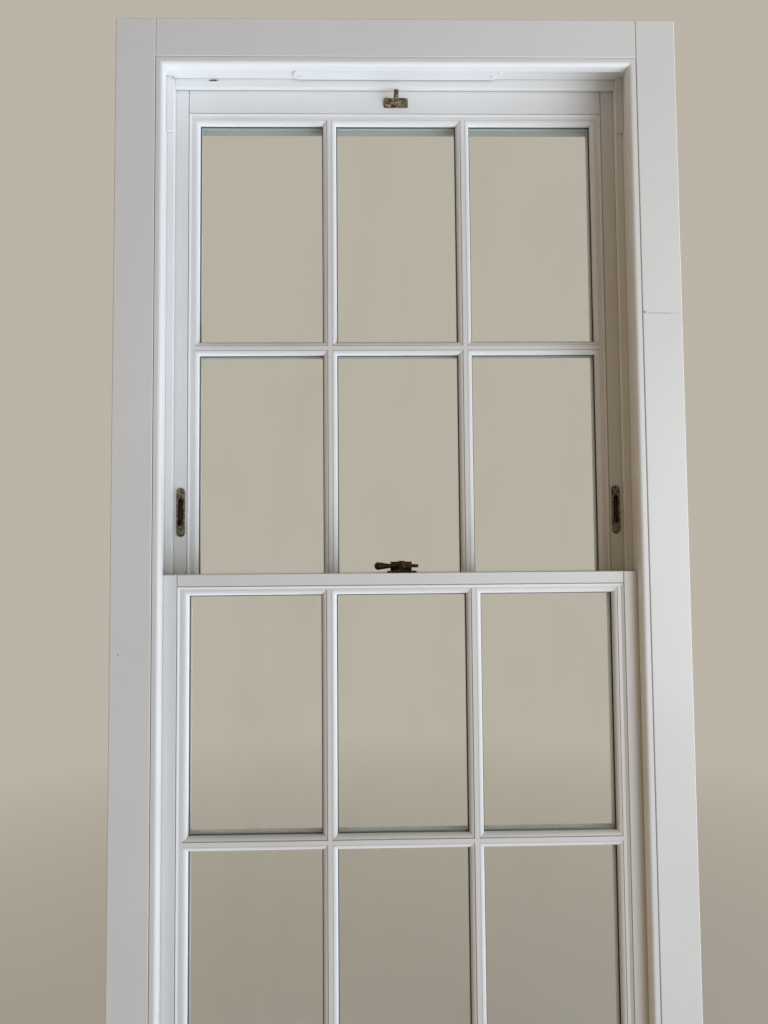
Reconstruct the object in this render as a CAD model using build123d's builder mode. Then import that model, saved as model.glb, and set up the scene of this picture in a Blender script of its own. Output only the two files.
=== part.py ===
"""Timber sliding box sash window, six panes over six, with its frame.

Millimetres. X runs across the window, Y from the room outwards, Z up.
The origin is at the middle of the window's width and depth, at the foot of the sill.
"""

import os
from collections import namedtuple
from math import atan2, cos, degrees, radians, sin

from build123d import *

# Panes and glazing bars
pane_width = 198.6
side_pane_width = 202.2
bar_width = 22.0
bar_nose = 7.0
rebate = 7.0

# Sash stiles and their moulding
sash_depth = 47.0
stile_width = 48.0
groove_width = 2.0
groove_depth = 1.6
stile_groove = 17.0
splay_width = 3.5
splay_depth = 2.0
quirk = 0.8
moulding_depth = 10.0
moulding_land = 1.0

# Lower sash, from the sill up
lower_bottom_rail = 96.2
lower_pane_height = 359.0
lower_meeting_rail = 31.5
lower_meeting_groove = 14.0

# Top sash, from its meeting rail up
meeting_drop = 34.0
top_meeting_rail = 30.0
top_low_pane_height = 357.6
top_high_pane_height = 363.7
top_rail = 67.7

# Tenons, and the bevelled lips of the two meeting rails
tenon_setback = 17.0
tenon_thickness = 13.0
tenon_margin = 4.0
lip_low = 1.5
lip_high = 5.0
bevel_gap = 0.5

# Clearances of the sliding sashes
edge_gap = 2.0
head_gap = 2.0
sill_seat = 0.3
staff_gap = 2.0
parting_gap = 1.0
outer_gap = 2.0

# Frame timbers
lining_width = 61.5
lining_thickness = 16.0
lining_arris = 1.2
outer_lining_thickness = 18.0
outer_lining_lap = 12.5
jamb_thickness = 24.0
back_lining_thickness = 6.0
head_board_thickness = 22.0
head_lining_drop = 8.3
head_depth = 53.0
staff_width = 12.2
staff_round = 6.0
gap_line_width = 0.9
gap_line_depth = 5.0
parting_thickness = 8.0
parting_projection = 12.0
head_parting_projection = 15.0
parting_tongue = 6.0
parting_round = 1.5

# Sill
sill_height = 60.0
sill_step = 8.0
sill_fall = 14.0
sill_nose = 28.0
sill_nose_round = 6.0
drip_radius = 3.5
drip_setback = 14.0

# Brush pile behind the staff beads
brush_width = 5.0
brush_bed = 3.0
brush_offset = 3.6
pile_gap = 0.3

# Stop blocks and trickle vent cover
stop_block_length = 91.0
stop_block_thickness = 6.0
vent_length = 336.0
vent_width = 21.0
vent_thickness = 3.0
vent_setback = 27.0
vent_round = 1.2

# Sealed glazing units and the beads that hold them
glass_thickness = 4.0
spacer_thickness = 6.0
spacer_width = 7.5
unit_gap = 1.0
bead_land = 6.4
bead_lip = 3.0
bead_mitre_gap = 0.2

# Balances
tube_radius = 6.5
tube_bore = 4.5
tube_seat = 0.2
tube_inset = 1.5
tube_head_gap = 19.0
tube_foot_gap = 11.0
lower_rod_cover = 50.3
rod_radius = 2.5
lower_rod_length = 855.0
top_rod_length = 741.0
foot_height = 25.0
foot_radius = 6.0
lower_balance_inset = 12.0
top_balance_inset = 23.5

# Sash fastener
fastener_x = 2.0
pivot_inset = 35.0
base_length = 46.0
base_width = 24.0
base_thickness = 2.5
base_corner = 3.0
boss_foot_radius = 11.0
boss_radius = 7.5
boss_height = 5.0
pin_radius = 3.0
pin_head_radius = 6.0
pin_head_height = 3.5
pin_clearance = 0.1
stack_gap = 0.3
cam_thickness = 5.0
hub_radius = 8.5
hub_rise = 1.6
lobe_reach = 26.0
lobe_radius = 6.0
arm_reach = 37.0
arm_radius = 3.4
knob_length = 17.0
knob_radius = 6.1
keep_length = 34.0
keep_floor = 2.5
keep_wall = 3.5
keep_top = 3.2
keep_gap = 0.5
keep_front = 4.0
keep_glass_gap = 0.5
keep_corner = 6.0

# Pole hook on the top rail
hook_plate_length = 39.6
hook_plate_height = 15.5
hook_plate_thickness = 2.0
hook_plate_corner = 2.0
hook_plate_drop = 33.0
hook_width = 8.0
hook_thickness = 4.0
hook_reach = 22.0
hook_bend = 5.0
hook_rise = 12.0
hook_offset = 3.5

# Sash stops on the top sash
stop_length = 78.0
stop_width = 13.2
stop_plate_thickness = 1.5
stop_rise = 102.0
stop_inset = 21.4
stop_slot_length = 43.0
stop_slot_width = 8.0
stop_slot_rise = 0.7
stop_case_wall = 0.9
stop_case_depth = 13.0
tongue_width = 6.2
tongue_thickness = 6.0
tongue_length = 27.0
tongue_angle = 16.0
tongue_pin_radius = 1.25
tongue_pin_depth = 6.0
tongue_pin_drop = 6.0

# Countersunk screws
screw_head_radius = 3.2
screw_head_height = 1.9
screw_radius = 1.5
screw_length = 12.0
screw_slot_width = 0.8
screw_slot_depth = 0.7
screw_edge = 5.5

# Places across the window, worked out from the panes outwards
ovolo_width = (bar_width - bar_nose) / 2
web_width = bar_width - 2 * rebate
sight_x = pane_width / 2 + bar_width + side_pane_width
bar_x = (pane_width + bar_width) / 2
side_pane_x = pane_width / 2 + bar_width + side_pane_width / 2
shoulder_x = sight_x + stile_groove - groove_width / 2
stile_x = sight_x + stile_width
opening_x = stile_x + edge_gap
frame_x = opening_x + lining_width
parting_x = opening_x - parting_projection
outer_x = opening_x - outer_lining_lap
tube_x = opening_x + tube_inset + tube_radius
stop_x = stile_x - stop_inset

# Places from the room outwards
depth_parts = (lining_thickness, staff_gap, sash_depth, parting_gap, parting_thickness,
               parting_gap, sash_depth, outer_gap, outer_lining_thickness, sill_nose)
room_y = -sum(depth_parts) / 2
lining_back = room_y + lining_thickness
lower_face = lining_back + staff_gap
lower_back = lower_face + sash_depth
parting_front = lower_back + parting_gap
parting_back = parting_front + parting_thickness
top_face = parting_back + parting_gap
top_back = top_face + sash_depth
outer_face = top_back + outer_gap
outer_back = outer_face + outer_lining_thickness
nose_y = outer_back + sill_nose
lower_tube_y = lower_face + lower_balance_inset
top_tube_y = top_face + top_balance_inset
pivot_y = lower_face + pivot_inset
tongue_pin_y = top_face + tongue_pin_depth

# Heights from the foot of the sill
lower_z = sill_height + sill_seat
lower_low_sight = lower_z + lower_bottom_rail
lower_bar_z = lower_low_sight + lower_pane_height + bar_width / 2
lower_high_sight = lower_bar_z + lower_pane_height + bar_width / 2
lower_top = lower_high_sight + lower_meeting_rail
top_z = lower_top - meeting_drop
top_low_sight = top_z + top_meeting_rail
top_bar_z = top_low_sight + top_low_pane_height + bar_width / 2
top_high_sight = top_bar_z + top_high_pane_height + bar_width / 2
top_top = top_high_sight + top_rail
soffit_z = top_top + head_gap
head_z = soffit_z - head_lining_drop
frame_top = soffit_z + head_depth
head_parting_z = soffit_z - head_parting_projection
tube_top = soffit_z - tube_head_gap
lower_tube_z = lower_z + foot_height + lower_rod_length - lower_rod_cover
top_tube_z = top_z + foot_height + tube_foot_gap
cam_z = lower_top + base_thickness + boss_height + stack_gap
stop_height = top_low_sight + stop_rise
stop_slot_z = stop_height + stop_slot_rise
tongue_pin_z = stop_slot_z + stop_slot_length / 2 - tongue_pin_drop
hook_z = top_top - hook_plate_drop

Rail = namedtuple("Rail", "edge sight groove moulded")
Sash = namedtuple("Sash", "face low_rail high_rail bar_z")
lower_sash = Sash(lower_face,
                  Rail(lower_z, lower_low_sight, stile_groove, True),
                  Rail(lower_top, lower_high_sight, lower_meeting_groove, True),
                  lower_bar_z)
top_sash = Sash(top_face,
                Rail(top_z, top_low_sight, 0.0, False),
                Rail(top_top, top_high_sight, stile_groove, True),
                top_bar_z)


def write(piece, name):
    """Label one finished piece and write its file."""
    piece.part.label = name
    export_step(piece.part, f"parts/{name}.step")


def mirrored(piece):
    """The same piece on the other side of the window."""
    with BuildPart() as other:
        add(piece.part.mirror(Plane.YZ))
    return other


def without(piece, others):
    """The piece with every other piece cut out of it."""
    with BuildPart() as rest:
        add(piece.part)
        for other in others:
            add(other.part, mode=Mode.SUBTRACT)
    return rest


def box(x, y, z, mode=Mode.ADD):
    """Block between two values on each axis, added to or cut from the piece being built."""
    with BuildSketch(Plane.XY.offset(z[0])) as plan:
        with Locations(((x[0] + x[1]) / 2, (y[0] + y[1]) / 2)):
            Rectangle(x[1] - x[0], y[1] - y[0])
    extrude(plan.sketch, amount=z[1] - z[0], mode=mode)


def board(x, y, z):
    """A plain board between two values on each axis."""
    with BuildPart() as timber:
        box(x, y, z)
    return timber


def lining_board(x, z):
    """Room-side lining board, with the four edges of its face eased."""
    with BuildPart() as lining:
        box(x, (room_y, lining_back), z)
        chamfer(lining.faces().sort_by(Axis.Y)[0].edges(), length=lining_arris)
    return lining


def section_plane(origin, across):
    """Plane for a section: x along across, y outwards, and the piece runs along its normal."""
    return Plane(origin=origin, x_dir=across, z_dir=Vector(across).cross(Vector(0, 1, 0)))


def outward_plane(y):
    """Plane facing outdoors at one depth, seen from outside, with z upwards."""
    return Plane(origin=(0, y, 0), x_dir=(-1, 0, 0), z_dir=(0, 1, 0))


# Sections of the sash timbers, each with its face at y = 0

def moulded_section(plane, width, groove):
    """Moulded stile or rail, from its sight edge at 0 out to its width."""
    edge = moulding_depth - moulding_land
    splay = groove - groove_width / 2
    with BuildSketch(plane) as section:
        with BuildLine():
            Polyline((ovolo_width, splay_depth + quirk), (ovolo_width, splay_depth),
                     (splay - splay_width, splay_depth), (splay, 0),
                     (groove, groove_depth), (groove + groove_width / 2, 0), (width, 0),
                     (width, sash_depth), (rebate, sash_depth), (rebate, moulding_depth),
                     (0, moulding_depth), (0, edge))
            EllipticalCenterArc((ovolo_width, edge), ovolo_width, edge - splay_depth - quirk,
                                start_angle=180, arc_size=90)
        make_face()
    return section.sketch


def plain_section(plane, width):
    """Rail with no moulding, with its rebate for the glass."""
    with BuildSketch(plane) as section:
        with BuildLine():
            Polyline((0, 0), (width, 0), (width, sash_depth), (rebate, sash_depth),
                     (rebate, moulding_depth), (0, moulding_depth), close=True)
        make_face()
    return section.sketch


def bar_section(plane):
    """Glazing bar: nose, two ovolos and the web between the panes."""
    edge = moulding_depth - moulding_land
    nose = bar_nose / 2
    with BuildSketch(plane) as section:
        with BuildLine():
            Polyline((0, splay_depth), (nose, splay_depth), (nose, splay_depth + quirk))
            EllipticalCenterArc((nose, edge), ovolo_width, edge - splay_depth - quirk,
                                start_angle=270, arc_size=90)
            Polyline((bar_width / 2, edge), (bar_width / 2, moulding_depth),
                     (web_width / 2, moulding_depth), (web_width / 2, sash_depth),
                     (0, sash_depth), (0, splay_depth))
        make_face()
        mirror(about=Plane.YZ)
    return section.sketch


# Sashes

def rail_shoulder(rail):
    """Height at which a stile's moulding stops and the rail's flat part starts."""
    reach = rail.groove - groove_width / 2 if rail.moulded else 0.0
    return rail.sight + reach if rail.edge > rail.sight else rail.sight - reach


def rail_tenon(rail):
    """Lowest and highest level of a rail's tenon, clear of the moulding and the rebate."""
    reach = rail.groove - groove_width / 2 if rail.moulded else rebate
    inner = rail.sight + reach if rail.edge > rail.sight else rail.sight - reach
    low, high = sorted((rail.edge, inner))
    return low + tenon_margin, high - tenon_margin


def tenon_depth(sash):
    """Front and back of the tenons of a sash."""
    front = sash.face + tenon_setback
    return front, front + tenon_thickness


def build_stile(sash):
    """Right-hand stile: moulded between the rails, mortised for their tenons."""
    with BuildPart() as stile:
        plane = section_plane((sight_x, sash.face, sash.low_rail.edge), (1, 0, 0))
        extrude(moulded_section(plane, stile_width, stile_groove),
                amount=sash.high_rail.edge - sash.low_rail.edge)
        for rail in (sash.low_rail, sash.high_rail):
            flat = sorted((rail.edge, rail_shoulder(rail)))
            box((sight_x, shoulder_x), (sash.face, sash.face + sash_depth), flat,
                mode=Mode.SUBTRACT)
            box((shoulder_x, stile_x), tenon_depth(sash), rail_tenon(rail),
                mode=Mode.SUBTRACT)
    return stile


def build_rail(sash, rail, stiles):
    """Rail between the stiles, with through tenons and its moulding scribed over theirs."""
    upward = rail.edge > rail.sight
    across = (0, 0, 1) if upward else (0, 0, -1)
    start = shoulder_x if upward else -shoulder_x
    height = abs(rail.edge - rail.sight)
    plane = section_plane((start, sash.face, rail.sight), across)
    with BuildPart() as piece:
        if rail.moulded:
            extrude(moulded_section(plane, height, rail.groove), amount=2 * shoulder_x)
        else:
            extrude(plain_section(plane, height), amount=2 * shoulder_x)
        box((-stile_x, stile_x), tenon_depth(sash), rail_tenon(rail))
        for stile in stiles:
            add(stile.part, mode=Mode.SUBTRACT)
    return piece


def add_lip(rail, points):
    """The rail with its bevelled lip, which laps the stiles as far as the parting beads."""
    reach = parting_x - edge_gap
    with BuildPart() as piece:
        add(rail.part)
        with BuildSketch(Plane.YZ.offset(-reach)):
            with BuildLine():
                Polyline(*points, close=True)
            make_face()
        extrude(amount=2 * reach)
    return piece


def bar_end(rail):
    """Height at which the glazing bars end against a rail."""
    reach = ovolo_width if rail.moulded else rebate
    return rail.sight + reach if rail.edge > rail.sight else rail.sight - reach


def build_bar(sash, rails):
    """Right-hand upright glazing bar, scribed to the moulding of both rails."""
    low = bar_end(sash.low_rail)
    with BuildPart() as bar:
        extrude(bar_section(section_plane((bar_x, sash.face, low), (1, 0, 0))),
                amount=bar_end(sash.high_rail) - low)
        for rail in rails:
            add(rail.part, mode=Mode.SUBTRACT)
    return bar


def build_cross_bars(sash, uprights):
    """Three cross bars in line, scribed to the stiles and to the upright bars."""
    end = sight_x + ovolo_width
    with BuildPart() as bars:
        extrude(bar_section(section_plane((end, sash.face, sash.bar_z), (0, 0, 1))),
                amount=2 * end)
        for upright in uprights:
            add(upright.part, mode=Mode.SUBTRACT)
    return bars


def pane_openings(sash):
    """Middle, width and height of the six daylight openings of a sash."""
    rows = ((sash.low_rail.sight, sash.bar_z - bar_width / 2),
            (sash.bar_z + bar_width / 2, sash.high_rail.sight))
    columns = ((-side_pane_x, side_pane_width), (0, pane_width), (side_pane_x, side_pane_width))
    return [(x, (low + high) / 2, width, high - low) for low, high in rows for x, width in columns]


def opening_rectangles(plane, sash, margin):
    """The six daylight openings of a sash, each grown by a margin on every side."""
    with BuildSketch(plane) as outline:
        for x, z, width, height in pane_openings(sash):
            with Locations((x, z)):
                Rectangle(width + 2 * margin, height + 2 * margin)
    return outline.sketch


def build_panes(sash):
    """Inner and outer panes of the six sealed units."""
    inner = outward_plane(sash.face + moulding_depth)
    outer = inner.offset(glass_thickness + spacer_thickness)
    with BuildPart() as panes:
        for plane in (inner, outer):
            extrude(opening_rectangles(plane, sash, rebate - unit_gap),
                    amount=glass_thickness)
    return panes


def build_spacers(sash):
    """Spacer frames between the panes of the six sealed units."""
    plane = outward_plane(sash.face + moulding_depth + glass_thickness)
    margin = rebate - unit_gap
    with BuildPart() as spacers:
        extrude(opening_rectangles(plane, sash, margin), amount=spacer_thickness)
        extrude(opening_rectangles(plane, sash, margin - spacer_width),
                amount=spacer_thickness, mode=Mode.SUBTRACT)
    return spacers


def build_glazing_beads(sash):
    """Splayed outer beads, four to a unit, mitred at the corners."""
    start = moulding_depth + 2 * glass_thickness + spacer_thickness
    length = sash_depth - start
    plane = outward_plane(sash.face + start)
    splay = degrees(atan2(bead_land - bead_lip, length))
    with BuildPart() as beads:
        extrude(opening_rectangles(plane, sash, rebate), amount=length)
        extrude(opening_rectangles(plane, sash, rebate - bead_land), amount=length,
                taper=-splay, mode=Mode.SUBTRACT)
        with BuildSketch(plane):
            for x, z, width, height in pane_openings(sash):
                for side, end in ((-1, -1), (-1, 1), (1, -1), (1, 1)):
                    corner = (x + side * (width / 2 + rebate),
                              z + end * (height / 2 + rebate))
                    with Locations(Location(corner, 45 * side * end)):
                        Rectangle(4 * bead_land, bead_mitre_gap)
        extrude(amount=length, mode=Mode.SUBTRACT)
    return beads


def build_sash(sash):
    """The timbers of one sash, in a dictionary of named pieces."""
    right_stile = build_stile(sash)
    stiles = (right_stile, mirrored(right_stile))
    low_rail = build_rail(sash, sash.low_rail, stiles)
    high_rail = build_rail(sash, sash.high_rail, stiles)
    right_bar = build_bar(sash, (low_rail, high_rail))
    bars = (right_bar, mirrored(right_bar))
    return {"stile_right": stiles[0], "stile_left": stiles[1], "low_rail": low_rail,
            "high_rail": high_rail, "bar_right": bars[0], "bar_left": bars[1],
            "cross_bars": build_cross_bars(sash, stiles + bars),
            "panes": build_panes(sash), "spacer_frames": build_spacers(sash),
            "glazing_beads": build_glazing_beads(sash)}


# Frame

def build_sill():
    """Sill with a stepped and weathered top, a rounded nose and a drip groove."""
    with BuildPart() as sill:
        with BuildSketch(Plane.YZ.offset(-frame_x)) as section:
            with BuildLine():
                Polyline((room_y, 0), (room_y, sill_height), (parting_front, sill_height),
                         (parting_front, sill_height - sill_step),
                         (nose_y, sill_height - sill_step - sill_fall), (nose_y, 0),
                         close=True)
            make_face()
            nose = section.vertices().group_by(Axis.X)[-1].sort_by(Axis.Y)[-1]
            fillet(nose, radius=sill_nose_round)
            with Locations((nose_y - drip_setback, 0)):
                Circle(drip_radius, mode=Mode.SUBTRACT)
        extrude(amount=2 * frame_x)
        for side in ((opening_x, frame_x), (-frame_x, -opening_x)):
            box(side, (room_y, lining_back), (0, sill_height), mode=Mode.SUBTRACT)
    return sill


def standing_board(x, y, top, sill):
    """A board that stands on the sill, cut to the sill's step and slope."""
    return without(board(x, y, (sill_height - sill_step - sill_fall, top)), (sill,))


def balance_recess(y):
    """Round-bottomed groove for one balance, cut from the face of the jamb."""
    radius = tube_radius + tube_seat
    with BuildSketch() as plan:
        with Locations(((opening_x + tube_x) / 2, y)):
            Rectangle(tube_x - opening_x, 2 * radius)
        with Locations((tube_x, y)):
            Circle(radius)
    extrude(plan.sketch, amount=soffit_z, mode=Mode.SUBTRACT)


def build_jamb(sill):
    """Right-hand pulley stile with the grooves for the parting bead and the balances."""
    timber = standing_board((opening_x, opening_x + jamb_thickness),
                            (lining_back, outer_face), soffit_z, sill)
    with BuildPart() as jamb:
        add(timber.part)
        box((opening_x, opening_x + parting_tongue), (parting_front, parting_back),
            (0, soffit_z), mode=Mode.SUBTRACT)
        balance_recess(lower_tube_y)
        balance_recess(top_tube_y)
    return jamb


def build_head_board():
    """Head board over the jambs, grooved for the head parting bead."""
    reach = frame_x - back_lining_thickness
    with BuildPart() as head_board:
        box((-reach, reach), (lining_back, outer_face),
            (soffit_z, soffit_z + head_board_thickness))
        box((-parting_x, parting_x), (parting_front, parting_back),
            (soffit_z, soffit_z + parting_tongue), mode=Mode.SUBTRACT)
    return head_board


def staff_section(plane):
    """Staff bead against the lining's edge, with its gap line and rounded corner."""
    with BuildSketch(plane) as section:
        with BuildLine():
            Polyline((staff_width, staff_round), (staff_width, lining_thickness),
                     (0, lining_thickness), (0, gap_line_depth),
                     (gap_line_width, gap_line_depth), (gap_line_width, 0),
                     (staff_width - staff_round, 0))
            CenterArc((staff_width - staff_round, staff_round), staff_round, -90, 90)
        make_face()
    return section.sketch


def staff_mitre(corner, rise):
    """Plane of one mitre of the staff beads, with its normal towards the upright bead."""
    return Plane(origin=corner, x_dir=(0, 1, 0), z_dir=(1, 0, rise))


def build_staff_bead_side():
    """Right-hand staff bead, mitred at both ends and grooved for its brush pile."""
    low = (opening_x, room_y, sill_height)
    high = (opening_x, room_y, head_z)
    pile_x = opening_x - brush_offset
    with BuildPart() as bead:
        extrude(staff_section(section_plane(low, (-1, 0, 0))), amount=sill_height - head_z)
        split(bisect_by=staff_mitre(low, 1))
        split(bisect_by=staff_mitre(high, -1))
        box((pile_x - brush_width, pile_x), (lining_back - brush_bed, lining_back),
            (sill_height, head_z), mode=Mode.SUBTRACT)
    return bead


def build_staff_bead_cross(z, up):
    """Head or sill staff bead, cut to the mitres of the side beads."""
    start = (-up * opening_x, room_y, z)
    with BuildPart() as bead:
        extrude(staff_section(section_plane(start, (0, 0, up))), amount=-2 * opening_x)
        split(bisect_by=staff_mitre((opening_x, room_y, z), up), keep=Keep.BOTTOM)
        split(bisect_by=staff_mitre((-opening_x, room_y, z), -up), keep=Keep.TOP)
    return bead


def build_brush_strips():
    """Brush pile of the two side staff beads, which wipes the face of the lower sash."""
    pile_x = opening_x - brush_offset
    with BuildPart() as strips:
        box((pile_x - brush_width, pile_x),
            (lining_back - brush_bed, lower_face - pile_gap),
            (sill_height + staff_width, head_z - staff_width))
        mirror(about=Plane.YZ)
    return strips


def build_parting_bead_side(sill):
    """Right-hand parting bead, tongued into the jamb, with its two edges eased."""
    timber = standing_board((parting_x, opening_x + parting_tongue),
                            (parting_front, parting_back), soffit_z, sill)
    with BuildPart() as bead:
        add(timber.part)
        fillet(bead.edges().filter_by(Axis.Z).group_by(Axis.X)[0], radius=parting_round)
    return bead


def build_parting_bead_head():
    """Head parting bead, tongued into the head board between the side beads."""
    with BuildPart() as bead:
        box((-parting_x, parting_x), (parting_front, parting_back),
            (head_parting_z, soffit_z + parting_tongue))
        fillet(bead.edges().filter_by(Axis.X).group_by(Axis.Z)[0], radius=parting_round)
    return bead


def build_vent_cover():
    """Trickle vent cover on the soffit, with rounded ends and eased lower edges."""
    middle = lining_back + vent_setback + vent_width / 2
    with BuildPart() as cover:
        with BuildSketch(Plane.XY.offset(soffit_z)):
            with Locations((0, middle)):
                SlotOverall(vent_length, vent_width)
        extrude(amount=-vent_thickness)
        fillet(cover.edges().group_by(Axis.Z)[0], radius=vent_round)
    return cover


def build_balance_tubes():
    """Balance tubes fixed in the grooves of both jambs."""
    with BuildPart() as tubes:
        for y, low in ((lower_tube_y, lower_tube_z), (top_tube_y, top_tube_z)):
            with BuildSketch(Plane.XY.offset(low)):
                with Locations((tube_x, y)):
                    Circle(tube_radius)
                    Circle(tube_bore, mode=Mode.SUBTRACT)
            extrude(amount=tube_top - low)
        mirror(about=Plane.YZ)
    return tubes


def build_balance_rods(y, foot_z, length):
    """Rods of the two balances of one sash, each on the foot that carries the sash."""
    with BuildPart() as rods:
        with BuildSketch(Plane.XY.offset(foot_z)):
            with Locations(((stile_x + tube_x) / 2, y)):
                Rectangle(tube_x - stile_x, 2 * foot_radius)
            with Locations((tube_x, y)):
                Circle(foot_radius)
        extrude(amount=foot_height)
        with BuildSketch(Plane.XY.offset(foot_z + foot_height)):
            with Locations((tube_x, y)):
                Circle(rod_radius)
        extrude(amount=length)
        mirror(about=Plane.YZ)
    return rods


# Hardware

def build_screws(places):
    """Countersunk slotted screws, each with its head level with one given plane."""
    with BuildPart() as screws:
        with Locations(*places):
            Cylinder(screw_radius, screw_length,
                     align=(Align.CENTER, Align.CENTER, Align.MAX))
            Cone(screw_radius, screw_head_radius, screw_head_height,
                 align=(Align.CENTER, Align.CENTER, Align.MAX))
            Box(2 * screw_head_radius, screw_slot_width, screw_slot_depth,
                align=(Align.CENTER, Align.CENTER, Align.MAX), mode=Mode.SUBTRACT)
    return screws


def build_fastener_base():
    """Base plate of the fastener, with the tapered boss that carries the cam."""
    with BuildPart() as base:
        with BuildSketch(Plane((fastener_x, pivot_y, lower_top))):
            RectangleRounded(base_length, base_width, base_corner)
        extrude(amount=base_thickness)
        with Locations((fastener_x, pivot_y, lower_top + base_thickness)):
            Cone(boss_foot_radius, boss_radius, boss_height,
                 align=(Align.CENTER, Align.CENTER, Align.MIN))
            Hole(pin_radius + pin_clearance)
    return base


def knob_outline(plane):
    """Half of the cam's lever and its oval knob, to be turned about the lever's axis."""
    root = boss_radius + stack_gap
    waist = arm_reach - knob_length
    with BuildSketch(plane) as outline:
        with BuildLine():
            Polyline((arm_reach + knob_radius, 0), (root, 0), (root, arm_radius),
                     (waist, arm_radius), (arm_reach, knob_radius))
            CenterArc((arm_reach, 0), knob_radius, 0, 90)
        make_face()
    return outline.sketch


def build_fastener_cam():
    """Cam with its locking lobe on one side and the lever with its knob on the other."""
    hub = Plane((fastener_x, pivot_y, cam_z))
    axis_z = cam_z + cam_thickness / 2
    lever = Plane(origin=(fastener_x, pivot_y, axis_z), x_dir=(-1, 0, 0), z_dir=(0, 1, 0))
    with BuildPart() as cam:
        revolve(knob_outline(lever), axis=Axis((fastener_x, pivot_y, axis_z), (1, 0, 0)))
        with BuildSketch(hub):
            Circle(hub_radius)
            with Locations(((lobe_reach - lobe_radius) / 2, 0)):
                Rectangle(lobe_reach - lobe_radius, 2 * lobe_radius)
            with Locations((lobe_reach - lobe_radius, 0)):
                Circle(lobe_radius)
        extrude(amount=cam_thickness)
        with BuildSketch(hub):
            Circle(hub_radius)
        extrude(amount=cam_thickness + hub_rise)
        with Locations((fastener_x, pivot_y, cam_z + cam_thickness + hub_rise)):
            Hole(pin_radius + pin_clearance)
    return cam


def build_fastener_pin():
    """Pivot pin with a domed head, through the cam and the base plate."""
    head_z_low = cam_z + cam_thickness + hub_rise + stack_gap
    with BuildPart() as pin:
        with BuildSketch(Plane((fastener_x, pivot_y, lower_top))):
            Circle(pin_radius)
        extrude(amount=head_z_low - lower_top)
        with BuildSketch(Plane((fastener_x, pivot_y, head_z_low))):
            Circle(pin_head_radius)
        extrude(amount=pin_head_height)
        chamfer(pin.edges().group_by(Axis.Z)[-1], length=pin_head_height / 2)
    return pin


def build_keep():
    """Keep on the top sash: the cam's lobe swings in under its top flange."""
    front = top_face - keep_front
    back = top_face + moulding_depth - keep_glass_gap
    flange = cam_z + cam_thickness + keep_gap
    with BuildPart() as keep:
        with BuildSketch(Plane.YZ.offset(fastener_x - keep_length / 2)):
            with BuildLine():
                Polyline((front, top_low_sight), (back, top_low_sight),
                         (back, flange + keep_top), (front, flange + keep_top),
                         (front, flange), (back - keep_wall, flange),
                         (back - keep_wall, top_low_sight + keep_floor),
                         (front, top_low_sight + keep_floor), close=True)
            make_face()
        extrude(amount=keep_length)
        fillet(keep.edges().filter_by(Axis.Z).group_by(Axis.Y)[0], radius=keep_corner)
    return keep


def build_pole_hook():
    """Pole hook: a plate with a flat bar that turns up, forged in one piece."""
    plate_face = top_face - hook_plate_thickness
    root_z = hook_z - hook_offset
    with BuildPart() as hook:
        with BuildSketch(Plane.XZ.offset(-top_face)):
            with Locations((0, hook_z)):
                RectangleRounded(hook_plate_length, hook_plate_height, hook_plate_corner)
        extrude(amount=hook_plate_thickness)
        with BuildLine():
            FilletPolyline((0, plate_face, root_z), (0, top_face - hook_reach, root_z),
                           (0, top_face - hook_reach, root_z + hook_rise), radius=hook_bend)
        with BuildSketch(Plane.XZ.offset(-plate_face)):
            with Locations((0, root_z)):
                Rectangle(hook_width, hook_thickness)
        sweep()
    return hook


def build_stop_case():
    """Outside of the right-hand sash stop's case, which the stile is mortised for."""
    half_width = stop_slot_width / 2 + stop_case_wall
    half_height = stop_slot_length / 2 + stop_case_wall
    return board((stop_x - half_width, stop_x + half_width),
                 (top_face, top_face + stop_case_depth),
                 (stop_slot_z - half_height, stop_slot_z + half_height))


def build_stop_plate(case):
    """Right-hand sash stop: slotted face plate with the case that is let into the stile."""
    with BuildPart() as plate:
        with BuildSketch(Plane.XZ.offset(-top_face)):
            with Locations((stop_x, stop_height)):
                SlotOverall(stop_length, stop_width, rotation=90)
        extrude(amount=stop_plate_thickness)
        add(case.part)
        box((stop_x - stop_slot_width / 2, stop_x + stop_slot_width / 2),
            (top_face - stop_plate_thickness, top_face + stop_case_depth - stop_case_wall),
            (stop_slot_z - stop_slot_length / 2, stop_slot_z + stop_slot_length / 2),
            mode=Mode.SUBTRACT)
    return plate


def build_tongue():
    """Right-hand stop tongue, hung from its pin and leaning out of the slot."""
    lean = radians(tongue_angle)
    tip = (tongue_pin_y - tongue_length * sin(lean),
           tongue_pin_z - tongue_length * cos(lean))
    middle = ((tongue_pin_y + tip[0]) / 2, (tongue_pin_z + tip[1]) / 2)
    with BuildPart() as tongue:
        with BuildSketch(Plane.YZ.offset(stop_x - tongue_width / 2)):
            with Locations(Location(middle, 90 - tongue_angle)):
                SlotCenterToCenter(tongue_length, tongue_thickness)
            with Locations((tongue_pin_y, tongue_pin_z)):
                Circle(tongue_pin_radius + pin_clearance, mode=Mode.SUBTRACT)
        extrude(amount=tongue_width)
    return tongue


def build_stop_pins():
    """Pins of the two sash stop tongues, riveted across their cases."""
    reach = stop_slot_width / 2
    with BuildPart() as pins:
        with BuildSketch(Plane.YZ.offset(stop_x - reach)):
            with Locations((tongue_pin_y, tongue_pin_z)):
                Circle(tongue_pin_radius)
        extrude(amount=2 * reach)
        mirror(about=Plane.YZ)
    return pins


def facing_room(x, y, z):
    """Plane facing the room at one point, for a screw head."""
    return Plane(origin=(x, y, z), x_dir=(1, 0, 0), z_dir=(0, -1, 0))


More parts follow.
